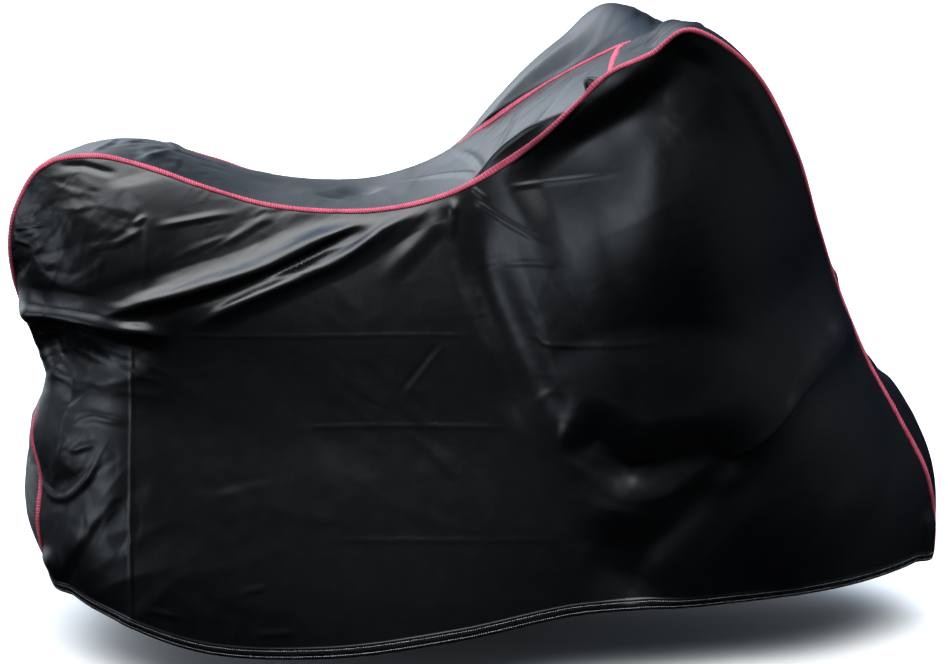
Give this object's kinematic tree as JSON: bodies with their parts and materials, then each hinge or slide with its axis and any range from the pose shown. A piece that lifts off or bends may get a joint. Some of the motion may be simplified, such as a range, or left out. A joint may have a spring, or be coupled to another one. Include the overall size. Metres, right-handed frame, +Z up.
{
  "type": "motor scooter cover",
  "caption": "Fitted fabric cover in its draped shape over a motor scooter: side panels, a centre panel and piped seams, open at the bottom.",
  "frame": {"origin": "centre of the base of the draped cover's box, at the height of its lowest hem", "axes": "+X to the front of the cover, +Y to its left side, +Z up"},
  "size_m": [1.9893, 0.8702, 1.2611],
  "materials": {
    "cover_cloth": "satin, coated woven polyester",
    "seam_tape": "matt, overlocked binding"
  },
  "bodies": {
    "root": {"side_panel_right": "cover_cloth", "side_panel_left": "cover_cloth", "centre_panel_rear": "cover_cloth", "centre_panel_front": "cover_cloth", "seam_tape_right": "seam_tape", "seam_tape_left": "seam_tape", "cross_seam_tape": "seam_tape"}
  },
  "joints": []
}
